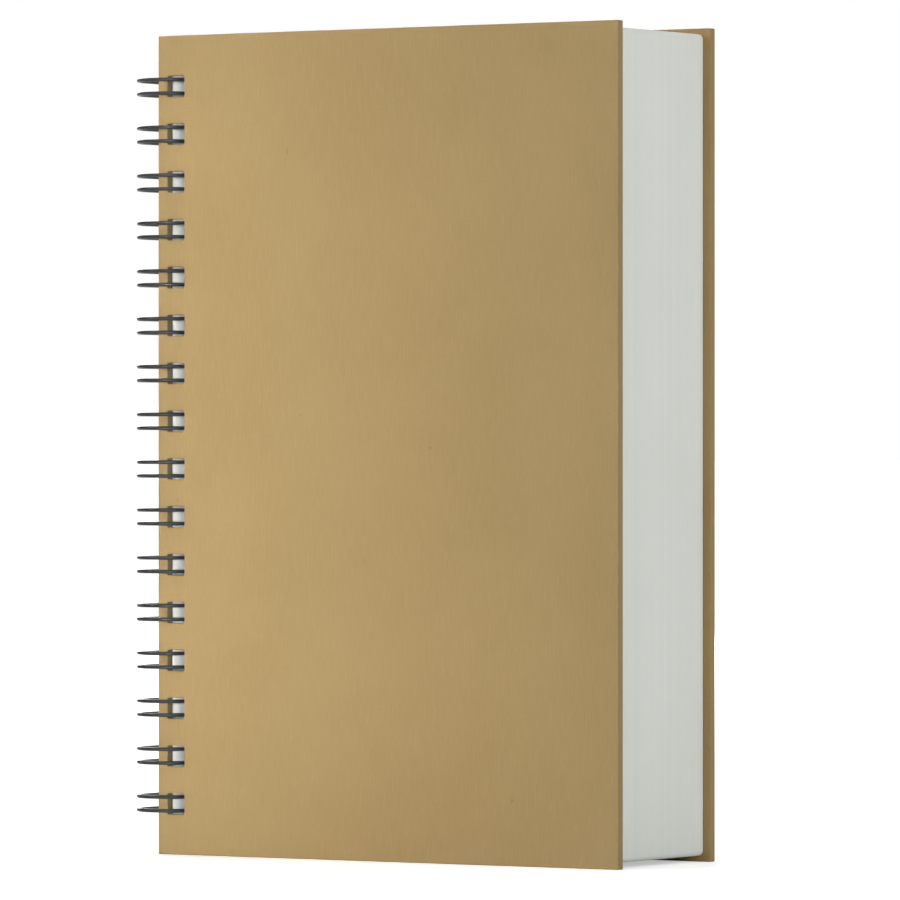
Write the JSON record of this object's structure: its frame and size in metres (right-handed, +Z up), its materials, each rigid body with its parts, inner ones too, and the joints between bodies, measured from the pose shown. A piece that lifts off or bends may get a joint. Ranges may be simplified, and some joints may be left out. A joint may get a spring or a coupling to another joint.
{
  "type": "spiral notebook",
  "caption": "Thick hard-cover notebook with plain kraft board covers, a white page block and a black twin-loop wire binding along the spine.",
  "frame": {"origin": "on the surface that the covers' tail edges stand on, under the middle of the whole object with its wire loops", "axes": "+Z up along the spine, from tail to head; +X from the spine to the fore edge; +Y from the front cover to the back cover, so the front cover faces -Y"},
  "size_m": [0.1526, 0.0538, 0.2174],
  "materials": {
    "cover_board": "matte",
    "leaves": "matte",
    "coated_wire": "satin"
  },
  "bodies": {
    "book": {"page_block": "leaves", "wire_binding": "coated_wire"},
    "front_cover": {"front_cover": "cover_board"},
    "back_cover": {"back_cover": "cover_board"}
  },
  "joints": [
    {"name": "front_cover_hinge", "type": "hinge", "parent": "book", "child": "front_cover", "pos_m": [-0.06775, -0.01843, 0.1087], "axis": [0, 0, -1], "range_deg": [0, 180]},
    {"name": "back_cover_hinge", "type": "hinge", "parent": "book", "child": "back_cover", "pos_m": [-0.06775, 0.01843, 0.1087], "axis": [0, 0, 1], "range_deg": [0, 180]}
  ]
}
